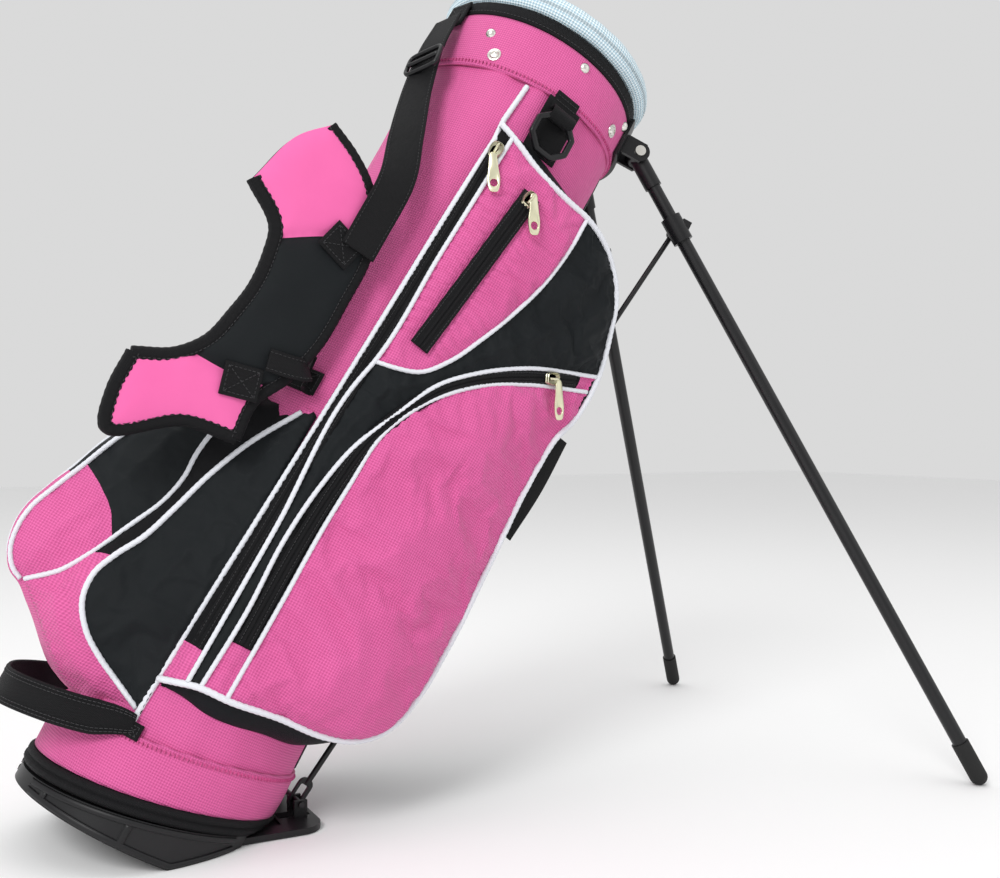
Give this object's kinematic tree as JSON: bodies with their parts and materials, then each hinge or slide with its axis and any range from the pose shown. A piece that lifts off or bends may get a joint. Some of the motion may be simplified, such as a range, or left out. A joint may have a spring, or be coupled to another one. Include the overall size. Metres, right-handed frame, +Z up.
{
  "type": "golf stand bag",
  "caption": "Junior golf stand bag with zipped side pockets, ball pocket, padded shoulder strap and folding stand legs worked by a foot lever.",
  "frame": {"origin": "on the resting face of the bevel under the base, in the bag's middle plane", "axes": "+Z up, +X from the base towards the feet of the legs, -Y towards the side with the main pocket"},
  "size_m": [0.819, 0.4828, 0.7283],
  "materials": {
    "base_plastic": "moulded, fine grain",
    "black_binding": "woven tape",
    "pink_fabric": "honeycomb-weave polyester",
    "mesh": "padded spacer mesh",
    "stay_plastic": "moulded",
    "steel_hardware": "blackened",
    "zip_tape": "coil zip on woven tape",
    "webbing": "ribbed webbing",
    "nickel": "nickel plated",
    "leg_tube": "satin black",
    "leg_rubber": "matt",
    "pad": "neoprene pad with bound edges"
  },
  "bodies": {
    "bag": {"base_cup": "base_plastic", "base_trim": "black_binding", "bottom_cuff": "pink_fabric", "bag_tube": "pink_fabric", "front_panel": "black_binding", "top_cuff": "pink_fabric", "cuff_binding": "black_binding", "mesh_collar": "mesh", "top_divider": "base_plastic", "spine_stays": "stay_plastic", "lever_pin": "steel_hardware", "leg_bracket": "base_plastic", "pivot_screws": "steel_hardware", "side_pocket_near": "pink_fabric", "side_pocket_far": "pink_fabric", "ball_pocket": "pink_fabric", "zip_tape_main": "zip_tape", "zip_tape_upper": "zip_tape", "zip_tape_curved": "zip_tape", "zip_tape_far": "zip_tape", "towel_tab": "webbing", "leg_strap": "webbing", "strap_anchors": "webbing", "handle_anchors": "webbing", "cuff_rivets": "nickel", "cuff_screws": "nickel"},
    "foot_lever": {"foot_lever": "base_plastic", "lever_bar": "steel_hardware"},
    "shoulder_strap": {"strap_pad": "pad", "strap_webbing": "webbing", "strap_tail": "webbing", "strap_triglide": "base_plastic"},
    "carry_handle": {"carry_handle": "webbing"},
    "towel_ring": {"towel_ring": "base_plastic"},
    "leg_near": {"leg_hub_near": "base_plastic", "leg_tube_near": "leg_tube", "leg_tip_near": "leg_rubber", "leg_collar_near": "base_plastic", "rod_pin_near": "steel_hardware"},
    "rod_near": {"push_rod_near": "steel_hardware"},
    "leg_far": {"leg_hub_far": "base_plastic", "leg_tube_far": "leg_tube", "leg_tip_far": "leg_rubber", "leg_collar_far": "base_plastic", "rod_pin_far": "steel_hardware"},
    "rod_far": {"push_rod_far": "steel_hardware"},
    "slider_main": {"slider_main": "nickel"},
    "pull_main": {"pull_main": "nickel"},
    "slider_upper": {"slider_upper": "nickel"},
    "pull_upper": {"pull_upper": "nickel"},
    "slider_curved": {"slider_curved": "nickel"},
    "pull_curved": {"pull_curved": "nickel"},
    "slider_far": {"slider_far": "nickel"},
    "pull_far": {"pull_far": "nickel"}
  },
  "joints": [
    {"name": "leg_near_fold", "type": "hinge", "parent": "bag", "child": "leg_near", "pos_m": [0.43767, -0.049, 0.5837], "axis": [0.2972, 0.9393, -0.1716], "range_deg": [0, 55.2]},
    {"name": "rod_near_swing", "type": "hinge", "parent": "leg_near", "child": "rod_near", "pos_m": [0.47243, -0.05839, 0.51091], "axis": [0.2972, 0.9393, -0.1716], "range_deg": [-63, 0.5]},
    {"name": "leg_far_fold", "type": "hinge", "parent": "bag", "child": "leg_far", "pos_m": [0.43767, 0.049, 0.5837], "axis": [-0.2972, 0.9393, 0.1716], "range_deg": [0, 55.2]},
    {"name": "rod_far_swing", "type": "hinge", "parent": "leg_far", "child": "rod_far", "pos_m": [0.47243, 0.05839, 0.51091], "axis": [-0.2972, 0.9393, 0.1716], "range_deg": [-63, 0.5]},
    {"name": "foot_lever_tilt", "type": "hinge", "parent": "bag", "child": "foot_lever", "pos_m": [0.0268, 0, 0.0062], "axis": [0, 1, 0], "range_deg": [0, 29.8]},
    {"name": "slider_main_slide", "type": "slide", "parent": "bag", "child": "slider_main", "axis": [-0.5195, 0.0096, -0.8544], "range_m": [0, 0.44]},
    {"name": "pull_main_flip", "type": "hinge", "parent": "slider_main", "child": "pull_main", "pos_m": [0.2527, -0.10985, 0.55423], "axis": [-0.9395, 0.3426, 0], "range_deg": [0, 150]},
    {"name": "slider_far_slide", "type": "slide", "parent": "bag", "child": "slider_far", "axis": [-0.5195, -0.0096, -0.8544], "range_m": [0, 0.44]},
    {"name": "pull_far_flip", "type": "hinge", "parent": "slider_far", "child": "pull_far", "pos_m": [0.2527, 0.10985, 0.55423], "axis": [0.9395, 0.3426, 0], "range_deg": [0, 150]},
    {"name": "slider_upper_slide", "type": "slide", "parent": "bag", "child": "slider_upper", "axis": [-0.6071, 0.0184, -0.7944], "range_m": [0, 0.145]},
    {"name": "pull_upper_flip", "type": "hinge", "parent": "slider_upper", "child": "pull_upper", "pos_m": [0.28534, -0.12139, 0.52128], "axis": [-0.9999, -0.0151, 0], "range_deg": [0, 150]},
    {"name": "slider_curved_slide", "type": "slide", "parent": "bag", "child": "slider_curved", "axis": [-0.9775, -0.1902, -0.0909], "range_m": [0, 0.045]},
    {"name": "pull_curved_flip", "type": "hinge", "parent": "slider_curved", "child": "pull_curved", "pos_m": [0.31828, -0.10553, 0.36741], "axis": [-0.9795, -0.2014, 0], "range_deg": [0, 150]},
    {"name": "strap_swing", "type": "hinge", "parent": "bag", "child": "shoulder_strap", "pos_m": [0.17683, -0.055, 0.52991], "axis": [0.4119, 0.1846, 0.8924], "range_deg": [0, 30]},
    {"name": "handle_swing", "type": "hinge", "parent": "bag", "child": "carry_handle", "pos_m": [-0.04535, 0, 0.10509], "axis": [0, 1, 0], "range_deg": [-10, 5]},
    {"name": "towel_ring_swing", "type": "hinge", "parent": "bag", "child": "towel_ring", "pos_m": [0.32083, -0.1056, 0.59134], "axis": [-0.866, 0, 0.5], "range_deg": [0, 100]}
  ],
  "couplings": [
    {"joint": "leg_far_fold", "follows": "leg_near_fold", "ratio": 1},
    {"joint": "rod_near_swing", "follows": "leg_near_fold", "ratio": -1.1392},
    {"joint": "rod_far_swing", "follows": "leg_near_fold", "ratio": -1.1392},
    {"joint": "foot_lever_tilt", "follows": "leg_near_fold", "ratio": 0.5373}
  ]
}
